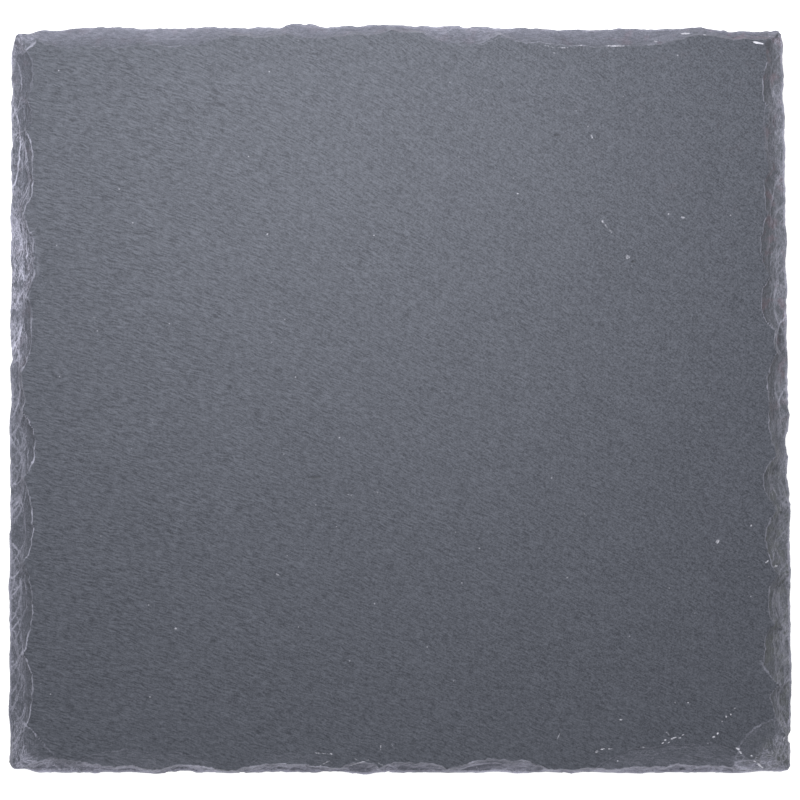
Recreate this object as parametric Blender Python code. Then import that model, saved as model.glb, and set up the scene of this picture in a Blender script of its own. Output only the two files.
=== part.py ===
"""Natural slate work plate with hand-dressed edges, standing on four stick-on rubber feet.

The plate is a riven sheet of slate, widest along its lower lip.  A dressed bevel climbs from the
lip to the flat working face.  Its inner edge is scalloped, because each blow of the dressing
hammer took out one shell-shaped flake.  Each foot is a rubber disc held by a double-sided adhesive
disc.  Lengths are in millimetres until they are placed in the mesh.  The origin is on the table,
under the middle of the plate, with +Y towards the rear edge.
"""
import math
import random

import bmesh
import bpy
from mathutils import Matrix, Vector

MM = 0.001

# The plate's outline, corner to corner along the lower lip.
FRONT_WIDTH = 299.8
REAR_WIDTH = 296.4
REAR_SHIFT = -1.8
DEPTH = 285.0
REAR_BOW = 1.5
CORNER_RADII = {"front_left": 3.4, "front_right": 3.8, "rear_right": 1.8, "rear_left": 6.0}
OUTLINE_STEP = 2.6
RIPPLE_WAVES = (23, 31, 44, 57, 73)
RIPPLE_HEIGHT = 0.14
RIPPLE_SEED = 11

# The plate's section, and the bevel that runs round it.
PLATE_THICKNESS = 6.0
LIP_HEIGHT = 1.1
LIP_UNDERCUT = 0.8
PLAIN_REACH = 1.6
BEVEL_STEPS = ((0.45, 0.42), (0.80, 0.78))
CORNER_REACH = 5.2
CORNER_FADE = 9.0

# Flakes struck off each edge: middle of the flake along the edge, half its length, its reach.
LEFT_FLAKES = (
    (124, 10, 7.3), (109, 6, 6.8), (88, 17, 7.3), (54, 17, 7.0), (26, 15, 7.3),
    (5, 13, 3.0), (-18, 12, 9.0), (-47, 17, 7.9), (-81, 17, 7.6), (-113, 15, 7.8),
)
RIGHT_FLAKES = (
    (134, 6, 5.5), (121, 9, 7.0), (99, 13, 6.0), (78, 8, 6.5), (59, 12, 8.2), (38, 10, 8.2),
    (23, 6, 3.0), (-3, 19, 6.5), (-32, 11, 7.2), (-54, 11, 7.6), (-79, 10, 7.0),
    (-98, 11, 8.8), (-117, 8, 6.5),
)
REAR_FLAKES = (
    (-117, 22, 7.4), (-85, 19, 6.8), (-58, 12, 3.6), (-29, 25, 4.3), (5, 9, 2.6),
    (24, 14, 6.6), (73, 35, 6.9), (134, 20, 3.8),
)
FRONT_FLAKES = (
    (-130, 14, 5.4), (-108, 10, 2.6), (-81, 11, 2.9), (-44, 20, 3.1), (-15, 7, 4.0),
    (5, 12, 4.0), (37, 18, 4.9), (108, 30, 3.4),
)
FLAKES = {"left": LEFT_FLAKES, "right": RIGHT_FLAKES, "rear": REAR_FLAKES, "front": FRONT_FLAKES}

# The feet.
FOOT_DIAMETER = 12.0
FOOT_HEIGHT = 2.4
FOOT_EDGE_ROUND = 0.45
FOOT_EDGE_SEGMENTS = 3
ADHESIVE_DIAMETER = 11.4
ADHESIVE_THICKNESS = 0.4
FOOT_INSET = 25.0
FOOT_SIDES = 32
CONTACT_GAP = 0.1

ADHESIVE_BASE = FOOT_HEIGHT + CONTACT_GAP
PLATE_BASE = ADHESIVE_BASE + ADHESIVE_THICKNESS + CONTACT_GAP


def clear_scene():
    """Remove whatever the file already holds."""
    for item in list(bpy.data.objects):
        bpy.data.objects.remove(item, do_unlink=True)


def make_material(name, colour, roughness):
    """Return a plain Principled material."""
    material = bpy.data.materials.new(name)
    material.use_nodes = True
    shader = material.node_tree.nodes["Principled BSDF"]
    shader.inputs["Base Color"].default_value = (*colour, 1.0)
    shader.inputs["Roughness"].default_value = roughness
    shader.inputs["Metallic"].default_value = 0.0
    return material


def add_object(name, shape, material):
    """Turn a bmesh into a named object with its material."""
    bmesh.ops.recalc_face_normals(shape, faces=shape.faces)
    mesh = bpy.data.meshes.new(name)
    shape.to_mesh(mesh)
    shape.free()
    mesh.materials.append(material)
    item = bpy.data.objects.new(name, mesh)
    bpy.context.collection.objects.link(item)
    return item


def corner_points():
    """Return the four sharp corners of the outline, anticlockwise from the front left."""
    front = -DEPTH / 2
    rear = DEPTH / 2
    return (
        ("front_left", Vector((-FRONT_WIDTH / 2, front))),
        ("front_right", Vector((FRONT_WIDTH / 2, front))),
        ("rear_right", Vector((REAR_WIDTH / 2 + REAR_SHIFT, rear))),
        ("rear_left", Vector((-REAR_WIDTH / 2 + REAR_SHIFT / 4, rear))),
    )


def corner_arc(before, corner, after, radius):
    """Return points along the arc that rounds one corner."""
    towards_before = (before - corner).normalized()
    towards_after = (after - corner).normalized()
    half_angle = towards_before.angle(towards_after) / 2
    centre = corner + (towards_before + towards_after).normalized() * radius / math.sin(half_angle)
    start = corner + towards_before * radius / math.tan(half_angle) - centre
    turn = math.pi - 2 * half_angle
    count = max(3, round(radius * turn / OUTLINE_STEP) + 2)
    points = []
    for index in range(count):
        angle = turn * index / (count - 1)
        points.append(centre + Matrix.Rotation(angle, 2) @ start)
    return points


def plain_outline():
    """Return the outline as (point, edge name) pairs, anticlockwise, before it is roughened."""
    corners = corner_points()
    edge_names = ("front", "right", "rear", "left")
    arcs = []
    for index, (name, corner) in enumerate(corners):
        before = corners[index - 1][1]
        after = corners[(index + 1) % 4][1]
        arcs.append(corner_arc(before, corner, after, CORNER_RADII[name]))
    outline = []
    for index, edge_name in enumerate(edge_names):
        arc = arcs[index]
        start = arc[-1]
        end = arcs[(index + 1) % 4][0]
        middle = len(arc) // 2
        outline.extend((point, edge_names[index - 1]) for point in arc[:middle])
        outline.extend((point, edge_name) for point in arc[middle:-1])
        count = round((end - start).length / OUTLINE_STEP)
        for step in range(count):
            outline.append((start.lerp(end, step / count), edge_name))
    return outline


def ripple(share, waves):
    """Return the small in-and-out wander of the dressed edge at a share of the way round."""
    height = sum(math.sin(math.tau * (count * share) + phase) for count, phase in waves)
    return RIPPLE_HEIGHT * height


def centred(outline):
    """Return the outline moved so that its box is centred on the origin."""
    across = [point.x for point, _ in outline]
    along = [point.y for point, _ in outline]
    middle = Vector((min(across) + max(across), min(along) + max(along))) / 2
    return [(point - middle, edge_name) for point, edge_name in outline]


def rough_outline():
    """Return the lip's outline with its wander and the bow of the rear edge."""
    generator = random.Random(RIPPLE_SEED)
    waves = [(count, generator.uniform(0.0, math.tau)) for count in RIPPLE_WAVES]
    outline = plain_outline()
    rough = []
    for index, (point, edge_name) in enumerate(outline):
        outward = point.normalized()
        moved = point + outward * ripple(index / len(outline), waves)
        if edge_name == "rear":
            across = min(1.0, abs(2 * moved.x / REAR_WIDTH))
            moved.y += REAR_BOW * 0.5 * (1 + math.cos(math.pi * across))
        rough.append((moved, edge_name))
    return centred(rough)


def flake_reach(along, flakes):
    """Return how far the bevel reaches in at a place along one edge."""
    reach = PLAIN_REACH
    for middle, half_length, depth in flakes:
        offset = (along - middle) / half_length
        if abs(offset) < 1.0:
            reach = max(reach, depth * math.sqrt(1.0 - offset * offset))
    return reach


def bevel_reach(edge_name, along, half_length):
    """Return how far the bevel reaches in from an edge, settling to one value at the corners."""
    reach = flake_reach(along, FLAKES[edge_name])
    nearness = max(0.0, 1 - (half_length - abs(along)) / CORNER_FADE)
    return reach + (CORNER_REACH - reach) * nearness


def inner_point(point, edge_name, share):
    """Return the bevel's point at a share of its reach, moved inward from the lip."""
    half_width = FRONT_WIDTH / 2
    half_depth = DEPTH / 2
    if edge_name in ("front", "rear"):
        along = point.x * (1 - share * CORNER_REACH / half_width)
        reach = bevel_reach(edge_name, along, half_width - CORNER_REACH)
        inward = 1 if edge_name == "front" else -1
        return Vector((along, point.y + inward * reach * share))
    along = point.y * (1 - share * CORNER_REACH / half_depth)
    reach = bevel_reach(edge_name, along, half_depth - CORNER_REACH)
    inward = 1 if edge_name == "left" else -1
    return Vector((point.x + inward * reach * share, along))


def add_ring(shape, points, height):
    """Add a closed loop of edges at one height and return its edges and vertices."""
    verts = [shape.verts.new((point.x * MM, point.y * MM, height * MM)) for point in points]
    edges = []
    for index, vert in enumerate(verts):
        edges.append(shape.edges.new((vert, verts[(index + 1) % len(verts)])))
    return edges, verts


def build_plate(material):
    """Build the slate plate: underside, lip, stepped bevel and flat working face."""
    outline = rough_outline()
    lip = [point for point, _ in outline]
    underside = [point - point.normalized() * LIP_UNDERCUT for point in lip]
    levels = [(underside, 0.0), (lip, LIP_HEIGHT)]
    rise = PLATE_THICKNESS - LIP_HEIGHT
    for share, height_share in BEVEL_STEPS:
        points = [inner_point(point, edge_name, share) for point, edge_name in outline]
        levels.append((points, LIP_HEIGHT + rise * height_share))
    face = [inner_point(point, edge_name, 1.0) for point, edge_name in outline]
    levels.append((face, PLATE_THICKNESS))

    shape = bmesh.new()
    rings = [add_ring(shape, points, PLATE_BASE + height) for points, height in levels]
    for (lower_edges, _), (upper_edges, _) in zip(rings, rings[1:]):
        bmesh.ops.bridge_loops(shape, edges=lower_edges + upper_edges)
    shape.faces.new(rings[0][1])
    shape.faces.new(rings[-1][1])
    return add_object("slate_plate", shape, material)


def foot_places():
    """Return each foot's name and its place under the plate."""
    places = []
    for end_name, end in (("front", -1), ("rear", 1)):
        for side_name, side in (("left", -1), ("right", 1)):
            x = side * (REAR_WIDTH / 2 - FOOT_INSET)
            y = end * (DEPTH / 2 - FOOT_INSET)
            places.append((f"{end_name}_{side_name}", x, y))
    return places


def disc_shape(diameter, height):
    """Return a bmesh disc that stands on its own origin."""
    shape = bmesh.new()
    bmesh.ops.create_cone(
        shape, cap_ends=True, segments=FOOT_SIDES, radius1=diameter / 2 * MM,
        radius2=diameter / 2 * MM, depth=height * MM,
        matrix=Matrix.Translation((0, 0, height / 2 * MM)))
    return shape


def build_foot(name, x, y, material):
    """Build one rubber foot, with the edge that meets the table rounded over."""
    shape = disc_shape(FOOT_DIAMETER, FOOT_HEIGHT)
    bottom_edges = [edge for edge in shape.edges
                    if all(vert.co.z < FOOT_HEIGHT / 4 * MM for vert in edge.verts)]
    bmesh.ops.bevel(shape, geom=bottom_edges, offset=FOOT_EDGE_ROUND * MM,
                    segments=FOOT_EDGE_SEGMENTS, profile=0.5, affect="EDGES")
    foot = add_object(f"rubber_foot_{name}", shape, material)
    foot.location = (x * MM, y * MM, 0.0)
    foot.data.shade_smooth()
    foot.data.set_sharp_from_angle(angle=math.radians(35))
    return foot


def build_adhesive(name, x, y, material):
    """Build one double-sided adhesive disc, between a foot and the plate."""
    shape = disc_shape(ADHESIVE_DIAMETER, ADHESIVE_THICKNESS)
    disc = add_object(f"adhesive_disc_{name}", shape, material)
    disc.location = (x * MM, y * MM, ADHESIVE_BASE * MM)
    disc.data.shade_smooth()
    disc.data.set_sharp_from_angle(angle=math.radians(35))
    return disc


def main():
    """Build the whole plate."""
    clear_scene()
    slate = make_material("slate", (0.100, 0.105, 0.125), 0.72)
    rubber = make_material("rubber", (0.020, 0.020, 0.022), 0.80)
    adhesive = make_material("adhesive", (0.62, 0.60, 0.54), 0.55)
    build_plate(slate)
    for name, x, y in foot_places():
        build_foot(name, x, y, rubber)
        build_adhesive(name, x, y, adhesive)


main()
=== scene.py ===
"""Riven slate work plate with hand-dressed edges, on four stick-on rubber feet.

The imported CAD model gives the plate's outline, its heights and the places of the feet.  This file
gives the plate its flaked bevel, the grain of its cleft face, its chips and scratches, and models
the feet and their adhesive discs in detail.  Shapes are worked out in millimetres.
"""
import math
import random

import bmesh
import bpy
import numpy as np
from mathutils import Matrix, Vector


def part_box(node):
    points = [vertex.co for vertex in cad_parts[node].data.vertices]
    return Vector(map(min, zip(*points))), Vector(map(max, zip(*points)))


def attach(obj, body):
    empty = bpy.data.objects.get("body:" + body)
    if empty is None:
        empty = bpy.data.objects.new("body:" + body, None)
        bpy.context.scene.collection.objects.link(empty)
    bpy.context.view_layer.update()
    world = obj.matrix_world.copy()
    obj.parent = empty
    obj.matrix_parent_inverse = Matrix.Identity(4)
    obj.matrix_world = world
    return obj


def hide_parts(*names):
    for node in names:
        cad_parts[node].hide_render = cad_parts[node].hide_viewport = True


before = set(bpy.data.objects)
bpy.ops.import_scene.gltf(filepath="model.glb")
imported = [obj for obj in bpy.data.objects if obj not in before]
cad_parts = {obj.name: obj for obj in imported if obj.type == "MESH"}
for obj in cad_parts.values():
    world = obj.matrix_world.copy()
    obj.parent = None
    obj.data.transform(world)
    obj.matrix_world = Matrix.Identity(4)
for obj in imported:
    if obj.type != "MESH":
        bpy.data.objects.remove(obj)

bl_info = {
    "name": "Slate Work Plate",
    "version": (1, 0, 0),
    "blender": (4, 5, 0),
    "location": "View3D > Sidebar > Slate Plate",
    "description": "Builds a riven slate plate with flaked edges on four rubber feet",
    "category": "Add Mesh",
}

MM = 0.001
SIDES = ("left", "right", "rear", "front")
CORNERS = ("front_left", "front_right", "rear_left", "rear_right")

# The big flakes struck off each edge: middle along the edge, half length, reach, paleness of rim.
BIG_FLAKES = {
    "left": (
        (124, 11, 7.3, 0.15), (109, 6, 6.8, 0.30), (87, 18, 7.4, 0.55), (54, 17, 7.6, 0.45),
        (27, 15, 7.3, 0.50), (4, 14, 3.6, 0.40), (-18, 12, 9.1, 0.60), (-47, 17, 8.1, 0.70),
        (-81, 17, 7.6, 0.50), (-113, 16, 7.8, 0.60),
    ),
    "right": (
        (134, 7, 5.5, 0.30), (121, 10, 7.0, 0.40), (99, 14, 6.0, 0.25), (78, 9, 6.5, 0.35),
        (59, 12, 8.2, 0.45), (38, 10, 8.2, 0.50), (23, 7, 3.2, 0.60), (-3, 19, 6.5, 0.50),
        (-32, 11, 7.2, 0.50), (-54, 12, 7.6, 0.40), (-79, 10, 7.0, 0.50), (-98, 11, 8.8, 0.40),
        (-117, 8, 6.5, 0.40),
    ),
    "rear": (
        (-117, 22, 7.4, 0.25), (-85, 20, 6.8, 0.30), (-57, 13, 3.8, 0.25), (-29, 25, 4.4, 0.15),
        (5, 10, 2.6, 0.15), (24, 14, 6.6, 0.40), (73, 35, 6.9, 0.45), (135, 20, 3.8, 0.30),
    ),
    "front": (
        (-130, 14, 5.4, 0.40), (-108, 11, 2.6, 0.50), (-81, 11, 2.9, 0.70), (-44, 20, 3.1, 0.60),
        (-15, 7, 4.2, 0.70), (5, 12, 4.0, 0.40), (37, 18, 4.9, 0.60), (70, 14, 2.0, 0.40),
        (108, 30, 3.0, 0.50),
    ),
}

# Thinner flakes inside the big ones: middle, half length, reach, depth of the step, paleness.
THIN_FLAKES = {
    "left": (
        (54, 15, 5.2, 0.8, 1.00), (36, 13, 4.2, 0.7, 0.90), (97, 12, 2.4, 0.6, 0.90),
        (88, 13, 5.0, 0.6, 0.50), (8, 11, 2.3, 0.5, 0.85), (25, 9, 4.6, 0.6, 0.60),
        (-17, 9, 5.0, 0.6, 0.35), (-30, 10, 3.6, 0.6, 0.40), (-48, 11, 4.9, 0.7, 0.45),
        (-76, 10, 5.0, 0.6, 0.50), (-66, 9, 3.2, 0.5, 0.45), (-114, 10, 4.6, 0.6, 0.45),
        (-103, 8, 2.6, 0.5, 0.45),
    ),
    "right": (
        (73, 9, 3.6, 0.6, 0.50), (62, 9, 2.6, 0.5, 0.40), (42, 12, 3.2, 0.6, 0.55),
        (23, 6, 2.4, 0.5, 0.90), (4, 8, 2.8, 0.6, 0.60), (-3, 5, 2.2, 0.5, 0.60),
        (-7, 15, 4.6, 0.6, 0.40), (-30, 9, 4.0, 0.6, 0.45), (-46, 8, 2.6, 0.5, 0.35),
        (-54, 8, 4.8, 0.6, 0.30), (-78, 8, 4.6, 0.6, 0.50), (-80, 8, 2.8, 0.5, 0.45),
        (-97, 9, 5.0, 0.6, 0.45), (-94, 6, 2.4, 0.5, 0.40), (-117, 7, 3.2, 0.5, 0.50),
        (110, 9, 3.6, 0.5, 0.30), (124, 7, 3.4, 0.5, 0.30),
    ),
    "rear": (
        (-112, 16, 4.0, 0.4, 0.20), (-84, 15, 3.6, 0.4, 0.35), (-60, 10, 2.0, 0.4, 0.35),
        (22, 10, 4.0, 0.4, 0.25), (52, 16, 4.4, 0.4, 0.30), (82, 22, 3.6, 0.4, 0.25),
        (-26, 18, 2.2, 0.4, 0.20), (132, 12, 2.2, 0.4, 0.30),
    ),
    "front": (
        (-45, 13, 2.2, 0.5, 0.60), (-31, 10, 3.6, 0.5, 0.60), (-17, 8, 5.3, 0.4, 0.80),
        (-8, 6, 3.0, 0.5, 0.80), (5, 11, 4.6, 0.4, 0.35), (36, 15, 3.3, 0.5, 0.60),
        (60, 8, 3.2, 0.4, 0.40), (100, 7, 2.6, 0.5, 0.50), (125, 10, 3.4, 0.5, 0.50),
        (-83, 8, 2.0, 0.5, 0.70), (-107, 8, 2.0, 0.5, 0.50), (-134, 8, 4.6, 0.5, 0.40),
        (-120, 9, 3.4, 0.4, 0.50),
    ),
}

# Single layers lifted off the face beside the bevel: the same values as the thin flakes.
LIFTED_LAYERS = {
    "left": ((52, 15, 8.8, 0.16, 0.12), (70, 8, 10.0, 0.10, 0.08)),
    "right": ((101, 16, 7.2, 0.12, 0.15),),
    "rear": ((24, 16, 7.4, 0.12, 0.20),),
    "front": ((-100, 27, 8.4, 0.20, 0.14), (108, 27, 11.0, 0.30, 0.18), (-42, 16, 7.4, 0.12, 0.12)),
}

# Flakes off a corner: the corner, the arc's setback and radius, the depth of the step, paleness.
CORNER_FLAKES = (
    ((-1, -1), 14.0, 35.5, 0.35, 0.60), ((1, -1), 3.0, 24.0, 0.20, 0.30),
    ((-1, 1), 5.5, 15.0, 0.6, 0.50), ((1, 1), 2.0, 9.0, 0.2, 0.20),
)

# Chips, bruises, scratches and a chip's painted shadow: place, length, width, turn in degrees,
# paleness (dark below 0).
MARKS = (
    (78.9, 66.3, 10.0, 1.1, -50, 0.46), (87.3, 54.4, 2.3, 1.8, 0, 0.46),
    # The dark mark that starts the next line is the painted shadow beside the chip before it.
    (89.3, 52.5, 1.6, 1.1, 0, -0.90), (88.4, 51.0, 1.4, 0.8, -50, 0.42),
    (121.9, -54.8, 2.4, 1.6, 60, 0.62), (144.2, -64.4, 2.0, 1.0, 20, 0.70),
    (140.8, -62.5, 2.4, 0.8, 40, 0.60), (-32.3, -30.2, 5.0, 1.3, 5, -0.60),
    (-46.9, -67.5, 1.8, 1.1, -30, 0.50), (-86.2, -88.3, 2.2, 1.2, 0, 0.50),
    (-79.0, -70.6, 16.0, 0.7, -38, 0.30), (68.0, -42.9, 24.0, 0.8, -27, 0.32),
    (44.2, 27.5, 11.0, 0.6, -70, 0.30), (-12.0, -82.0, 9.0, 0.7, 25, 0.30),
    (-19.0, -37.0, 3.0, 1.0, -15, 0.42), (-8.5, -36.0, 5.0, 0.8, -22, 0.42),
    (60.0, 101.0, 2.6, 0.7, 0, -0.80), (73.4, 100.6, 2.2, 0.7, -60, 0.60),
    (45.0, 78.6, 1.1, 0.8, 0, 0.55), (-50.8, 62.9, 1.1, 0.9, 0, 0.50),
    (-117.0, 31.0, 2.4, 0.8, -20, 0.45), (108.5, 69.4, 2.0, 1.1, -20, 0.60),
    (103.0, 70.6, 1.6, 0.9, 0, 0.45), (134.6, -48.7, 1.3, 0.9, 80, 0.60),
    (60.8, -129.6, 3.2, 0.7, 70, 0.55), (84.8, -123.1, 1.3, 0.9, 0, 0.80),
    (75.5, -135.4, 1.7, 1.0, 20, 0.66), (77.7, -134.4, 1.8, 0.7, 15, 0.70),
    (80.4, -134.3, 2.2, 0.8, 5, 0.60), (83.5, -139.0, 0.9, 0.8, 0, 0.70),
    (93.5, -133.7, 3.0, 0.6, 0, 0.45), (88.3, -133.7, 1.2, 0.6, 0, 0.40),
    (102.7, -128.5, 2.6, 0.6, -45, 0.70), (104.9, -130.2, 2.8, 0.7, 20, 0.80),
    (101.7, -131.0, 1.2, 0.9, 0, 0.80), (100.8, -132.1, 1.6, 0.6, 30, 0.70),
    (107.1, -130.2, 1.6, 0.6, 10, 0.70), (108.5, -129.0, 1.2, 0.6, 20, 0.60),
    (103.0, -131.9, 1.4, 0.6, 30, 0.70), (128.3, -118.8, 0.9, 0.8, 0, 0.65),
    (126.9, -121.2, 0.9, 0.8, 0, 0.65), (125.1, -122.0, 1.1, 0.9, 0, 0.75),
    (123.4, -123.7, 0.9, 0.8, 0, 0.70), (121.8, -128.5, 1.2, 0.9, 45, 0.85),
    (120.2, -129.8, 1.6, 0.8, 50, 0.85), (118.1, -132.3, 0.9, 0.6, 0, 0.50),
    (129.4, -134.3, 2.1, 0.9, -20, 0.85), (130.6, -135.8, 1.9, 1.0, -40, 0.72),
    (134.8, -137.0, 1.4, 0.8, -20, 0.85), (136.8, -137.6, 1.6, 0.5, -15, 0.55),
    (138.1, -140.7, 3.4, 0.8, -40, 1.00), (136.0, -139.2, 1.8, 0.6, -35, 0.70),
    (134.0, -127.5, 5.6, 0.5, 85, 0.40), (99.5, -118.3, 0.9, 0.8, 0, 0.60),
    (105.5, -116.7, 0.9, 0.7, 0, 0.50), (110.4, -116.7, 1.1, 0.7, 0, 0.65),
    (113.5, -137.5, 4.8, 0.5, -12, -0.60), (147.6, -130.6, 2.6, 0.6, 70, 0.70),
    (-7.4, -133.3, 3.5, 0.6, 88, 0.60), (-26.6, -136.3, 1.5, 0.8, 0, 0.60),
    (-30.4, -136.0, 8.3, 0.5, -4, 0.45), (-28.3, -139.5, 6.1, 0.5, 25, 0.50),
    (-16.8, -138.4, 3.2, 0.6, -24, 0.50), (-16.0, -139.9, 8.8, 0.6, 18, 0.62),
    (-7.7, -140.0, 4.9, 0.5, -23, 0.50), (-8.3, -141.3, 4.0, 0.5, -23, 0.40),
    (-2.4, -133.8, 4.1, 0.5, -58, 0.45), (-14.7, -132.0, 1.0, 0.8, 0, 0.45),
    (82.3, 135.2, 9.5, 0.7, -1, 0.62), (62.7, 134.5, 6.0, 0.6, 0, 0.45),
    (57.3, 135.0, 5.0, 0.6, -17, 0.40), (109.6, 140.0, 5.0, 0.7, -3, 0.70),
    (117.0, 139.4, 1.4, 0.7, 0, 0.60), (136.9, 136.4, 4.8, 0.9, -12, 0.95),
    (98.1, 137.1, 1.6, 0.8, 0, 0.60), (59.4, 132.4, 2.8, 0.6, -20, 0.45),
    (69.2, 135.3, 3.0, 0.7, 0, 0.50),
)

# The plate's mesh: its cells, the narrow ones along its edges, and the fine ones round a chip.
CELLS_ACROSS = 114
CELLS_DEEP = 110
EDGE_CELLS = 8
EDGE_CELL_WIDTH = 1.3
MARK_MARGIN = 1.0

# The plate's broken edge: small ins and outs of its lip, wider swells, and single notches.
LIP_ROUGHNESS = ((9.0, 0.12), (3.0, 0.13), (1.4, 0.15))
NIBBLES_PER_SIDE = 30
LIP_SHIFTS = {"left": 0.75, "right": 0.90, "rear": 0.00, "front": 0.80}
SWELLS = {
    "left": ((140, 9, -2.3), (-92, 8, -0.6), (-132, 14, -0.8)),
    "right": ((141, 6, -1.4), (-130, 16, -0.7)),
    "rear": (
        (-149, 13, -3.6), (-110, 14, 0.8), (-58, 4, -0.7), (-38, 11, 1.1), (-16, 4, -0.6),
        (-5, 9, 0.4), (5, 4, -0.5), (17, 9, 0.3), (25.5, 3, -0.9), (39, 8, -0.8), (60, 60, -0.5),
        (67, 16, -0.6), (115, 9, 0.9), (138, 14, -0.7),
    ),
    "front": ((-149, 11, -2.2), (146, 18, -0.5)),
}
NOTCHES = {"left": (), "right": ((-17.5, 4.6, 1.0), (-130.6, 1.8, 0.8)), "rear": (), "front": ()}
SHARPER_CORNERS = {(-1, -1): 0.80, (-1, 1): 0.90, (1, 1): 0.40}

# How far in from the lip its ins and outs reach, and how much of them the underside takes.
LIP_REACH = 2.2
UNDERSIDE_SHARE = 0.7

# How far along its sides a corner is read, and how far round it the corner is pulled out.
CORNER_ARM = 11
CORNER_REACH = 4.0

# The underside's break at the edge, how deep a chip is, and how far in the lip's dust reaches.
UNDERSIDE_DEPTH = 0.8
UNDERSIDE_REACH = 6.0
CHIP_DEPTH = 0.22
DUST_REACH = 7.0

# The plate's relief: name, size of the lumps, height, where it lies, and its direction.
RELIEF = (
    ("crushed stone", 1.4, 0.28, "bevel", "NORMAL"),
    ("riven swell", 42.0, 0.55, "riven", "Z"),
    ("riven ripple", 9.0, 0.16, "riven", "Z"),
)

# The flaking of each side: the plain bevel's width, how much wider the flakes are, how pale the
# rims and the lip are, partly as painted highlight, how dusty, with painted light added where a
# bevel faces away from the softbox, most at the front, and how crumbled at places along the side.
PLAIN_BEVELS = {"left": 2.8, "right": 2.2, "rear": 2.6, "front": 1.3}
REACH_GAINS = {"left": 0.70, "right": 0.90, "rear": 0.45, "front": -0.35}
PALE_SIDES = {"left": 1.00, "right": 0.75, "rear": 0.45, "front": 0.90}
PALE_AND_LIT_LIPS = {"left": 0.40, "right": 0.50, "rear": 0.25, "front": 0.95}
DUSTED_AND_LIT_SIDES = {"left": 0.05, "right": 0.07, "rear": 0.26, "front": 0.38}
CRUMBLED_RUNS = {
    "left": (
        (-140, 0.45), (-10, 0.42), (15, 0.58), (40, 0.68), (66, 0.68), (72, 0.20), (79, 0.20),
        (84, 0.60), (100, 0.72), (118, 0.60), (128, 0.20),
    ),
    "right": ((-140, 0.45), (20, 0.45), (55, 0.45), (75, 0.25), (130, 0.25)),
    "rear": ((0, 0.25),),
    "front": ((-140, 0.65), (0, 0.75), (140, 0.65)),
}

# The flakes' shape: how long and how bow-shaped they are, the step at a big flake's rim, the
# height of one layer of slate, and the size and height of each layer of waviness and of grit.
FLAKE_SPREAD = 1.30
FLAKE_BOW = 2.6
RIM_STEP = 0.45
LAYER = 0.62
WAVINESS = ((6.0, 0.70), (2.0, 0.42), (0.9, 0.18))
GRIT = ((1.3, 0.10), (0.7, 0.06))
SMALL_FLAKES_PER_SIDE = 110

# A depth that is far from every rim.
FAR = 9.0

# The widths of the pale lines, part crushed stone and part painted highlight: on big, thin and
# corner flakes, and along the lip itself.
BIG_RIM_WIDTH = 0.40
THIN_RIM_WIDTH = 0.34
CORNER_RIM_WIDTH = 0.55
LIP_WIDTH = 1.0

# How scuffed lifted layers and corner flakes are, and the dust and crumbs that a scuff adds.
LAYER_SCUFF = 1.75
CORNER_SCUFF = 0.22
SCUFF_DUST = 0.30
SCUFF_CRUMBLE = 3.0

# The grain of the cleft face: its streaks, and how it slopes, bends and closes up to the right.
STREAK_SIZE = 0.64
STREAK_STRETCH = 6.0
GRAIN_SIZE = 0.62
GRAIN_SLOPE = 0.50
GRAIN_BEND = 1.7
GRAIN_TWIST = 5.0
GRAIN_TWIST_START = -0.13
GRAIN_WAVE_SIZE = 5.0
GRAIN_WAVE = 0.002

# The plate's flat map: the share that the top takes, the margin, and the underside's strip.
MAP_TOP = 0.865
MAP_MARGIN = 0.005
MAP_STRIP_START = 0.848
MAP_STRIP_HEIGHT = 0.145

# A foot: how its sides taper, the ring it rests on, its dish and the groove under its flange.
FOOT_TAPER = 0.93
FOOT_RING = 0.30
DISH_TAPER = 0.90
DISH_RING = 0.28
DISH_RISE = 0.3
GROOVE_WIDTH = 0.25 * MM
GROOVE_DEPTH = 0.18 * MM
MERGE_GAP = 0.004 * MM

# An adhesive disc: the rounding of its edge, the rings that hold its flat faces, and its rim.
DISC_ROUND = 0.14 * MM
DISC_RINGS = (0.35 * MM, 1.2 * MM)
DISC_RIM = (4.9 * MM, 5.6 * MM)

# The softbox: its side, its place and the point it is aimed at, in metres.
KEY_SIZE = 0.25
KEY_PLACE = (-0.04, 0.17, 0.29)
KEY_AIM = (-0.04, 0.16, 0.0)

# The camera.
SENSOR_WIDTH = 36.0
CAMERA_OFFSET = -0.6 * MM


# ---------------------------------------------------------------------------------- small tools

def only_select(item):
    """Select one object and nothing else, and make it active."""
    bpy.ops.object.select_all(action="DESELECT")
    item.select_set(True)
    bpy.context.view_layer.objects.active = item


def added_object(name):
    """Name the object that the last operator added, and its mesh."""
    item = bpy.context.active_object
    item.name = name
    item.data.name = name
    return item


def settle(item):
    """Put an object's place into its mesh, so that the object stands at the origin."""
    only_select(item)
    bpy.ops.object.transform_apply(location=True, rotation=True, scale=True)


def apply_modifier(item, modifier):
    """Apply one modifier to its object."""
    only_select(item)
    bpy.ops.object.modifier_apply(modifier=modifier.name)


def soften(item, width, degrees):
    """Round the edges of an object that turn by more than an angle."""
    modifier = item.modifiers.new("soft edges", "BEVEL")
    modifier.width = width
    modifier.segments = 3
    modifier.limit_method = "ANGLE"
    modifier.angle_limit = math.radians(degrees)
    apply_modifier(item, modifier)


def smooth(item, degrees):
    """Shade an object smooth, but for edges that turn by more than an angle."""
    only_select(item)
    bpy.ops.object.shade_smooth_by_angle(angle=math.radians(degrees))


def middle_of(low, high):
    """Return the middle of a box."""
    return [(first + second) / 2 for first, second in zip(low, high)]


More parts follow.
